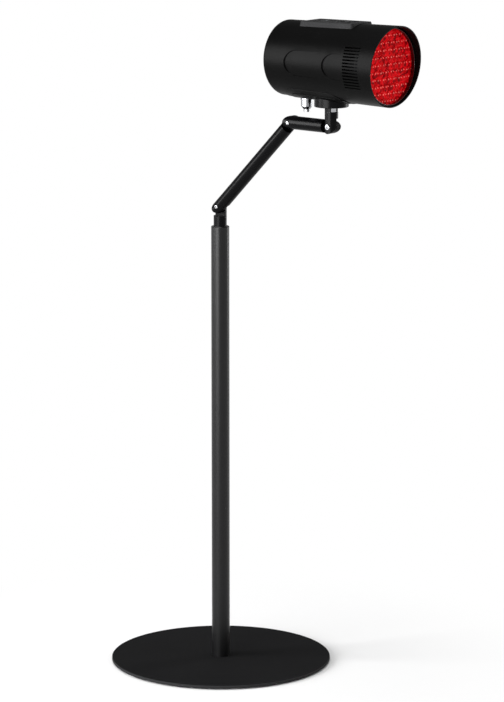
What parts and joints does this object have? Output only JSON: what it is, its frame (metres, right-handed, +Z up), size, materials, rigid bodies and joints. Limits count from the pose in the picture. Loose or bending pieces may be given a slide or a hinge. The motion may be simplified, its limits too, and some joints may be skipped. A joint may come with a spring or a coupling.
{
  "type": "floor-standing infrared therapy lamp",
  "caption": "Infrared heat lamp: round weighted base, slim pole, two-link swing arm, tilting and panning cylindrical head with a red diode array, side vents and a top console.",
  "frame": {"origin": "on the floor under the pole's axis", "axes": "+Z up along the pole, +X the way the head faces at rest, +Y to the head's left"},
  "size_m": [0.4591, 0.305, 0.9093],
  "materials": {
    "base_steel": "matte black powder coat",
    "foam_pad": "closed-cell foam",
    "pole_steel": "satin black powder coat",
    "arm_steel": "satin black powder coat",
    "plug_steel": "turned",
    "chrome_bolt": "polished",
    "zinc_steel": "zinc plated",
    "black_screw": "black oxide",
    "nylon": "nylon",
    "shell_paint": "satin charcoal powder coat",
    "gland_chrome": "polished",
    "lens_red": "moulded prismatic",
    "ring_black": "black spring steel",
    "spacer_plastic": "moulded",
    "board_metal": "white solder mask",
    "diode": "clear epoxy dome",
    "sink_aluminium": "extruded and black anodised",
    "board_green": "solder mask",
    "component_black": "moulded",
    "ferrite": "sintered core",
    "terminal_green": "moulded",
    "console": "fine texture",
    "button_rubber": "silicone",
    "window": "smoked acrylic"
  },
  "bodies": {
    "stand": {"base_plate": "base_steel", "base_pad": "foam_pad", "foot_plug": "plug_steel", "foot_screw": "zinc_steel", "pole_tube": "pole_steel", "pole_bush": "pole_steel", "swivel_washer": "nylon"},
    "swivel": {"swivel_stub": "arm_steel", "swivel_retainer": "plug_steel", "swivel_screw": "zinc_steel", "shoulder_bolt": "chrome_bolt", "shoulder_nut": "zinc_steel", "shoulder_washer": "nylon"},
    "lower_arm": {"lower_arm_tube": "arm_steel", "lower_arm_bottom_knuckle": "arm_steel", "lower_arm_top_knuckle": "arm_steel", "elbow_bolt": "chrome_bolt", "elbow_nut": "zinc_steel", "elbow_washer": "nylon"},
    "upper_link": {"upper_link_tube": "arm_steel", "upper_link_rear_knuckle": "arm_steel", "upper_link_front_knuckle": "arm_steel", "wrist_bolt": "chrome_bolt", "wrist_nut": "zinc_steel", "wrist_washer": "nylon"},
    "post": {"head_post": "arm_steel", "pan_bolt": "chrome_bolt", "pan_nut": "chrome_bolt", "pan_washer": "zinc_steel"},
    "head": {"mount_disc": "shell_paint", "mount_screws": "zinc_steel", "belly_plate": "shell_paint", "housing": "shell_paint", "rear_cap": "shell_paint", "long_screws": "black_screw", "gland_body": "gland_chrome", "gland_dome_nut": "gland_chrome", "gland_locknut": "zinc_steel", "lens_plate": "lens_red", "lens_ring": "ring_black", "lens_spacer": "spacer_plastic", "led_board": "board_metal", "led_array": "diode", "heat_sink": "sink_aluminium", "fan_frame": "spacer_plastic", "driver_board": "board_green", "board_screws": "zinc_steel", "driver_transformer": "ferrite", "driver_capacitors": "component_black", "driver_terminal": "terminal_green", "control_box": "console", "box_screws": "zinc_steel", "display_window": "window", "display_module": "component_black", "control_board": "board_green", "tactile_switches": "component_black"},
    "fan": {"fan_rotor": "spacer_plastic"},
    "power_button": {"power_button": "button_rubber"},
    "timer_button": {"timer_button": "button_rubber"},
    "mode_button": {"mode_button": "button_rubber"}
  },
  "joints": [
    {"name": "arm_swivel", "type": "hinge", "parent": "stand", "child": "swivel", "pos_m": [0, 0, 0.614], "axis": [0, 0, 1], "range_deg": [-175, 175]},
    {"name": "shoulder_tilt", "type": "hinge", "parent": "swivel", "child": "lower_arm", "pos_m": [0, 0, 0.6415], "axis": [0, -1, 0], "range_deg": [-50, 60]},
    {"name": "elbow_tilt", "type": "hinge", "parent": "lower_arm", "child": "upper_link", "pos_m": [0.12587, 0, 0.76736], "axis": [0, -1, 0], "range_deg": [-45, 45]},
    {"name": "wrist_tilt", "type": "hinge", "parent": "upper_link", "child": "post", "pos_m": [0.19437, 0, 0.76736], "axis": [0, -1, 0], "range_deg": [-90, 8]},
    {"name": "head_pan", "type": "hinge", "parent": "post", "child": "head", "pos_m": [0.19437, 0, 0.78726], "axis": [0, 0, 1], "range_deg": [-175, 175]},
    {"name": "fan_spin", "type": "hinge", "parent": "head", "child": "fan", "pos_m": [0.23736, 0, 0.85457], "axis": [1, 0, 0], "continuous": true},
    {"name": "power_press", "type": "slide", "parent": "head", "child": "power_button", "axis": [0.02, 0, -0.9998], "range_m": [0, 0.0008], "stiffness_N_per_m": 1500},
    {"name": "timer_press", "type": "slide", "parent": "head", "child": "timer_button", "axis": [0.02, 0, -0.9998], "range_m": [0, 0.0008], "stiffness_N_per_m": 1500},
    {"name": "mode_press", "type": "slide", "parent": "head", "child": "mode_button", "axis": [0.02, 0, -0.9998], "range_m": [0, 0.0008], "stiffness_N_per_m": 1500}
  ]
}
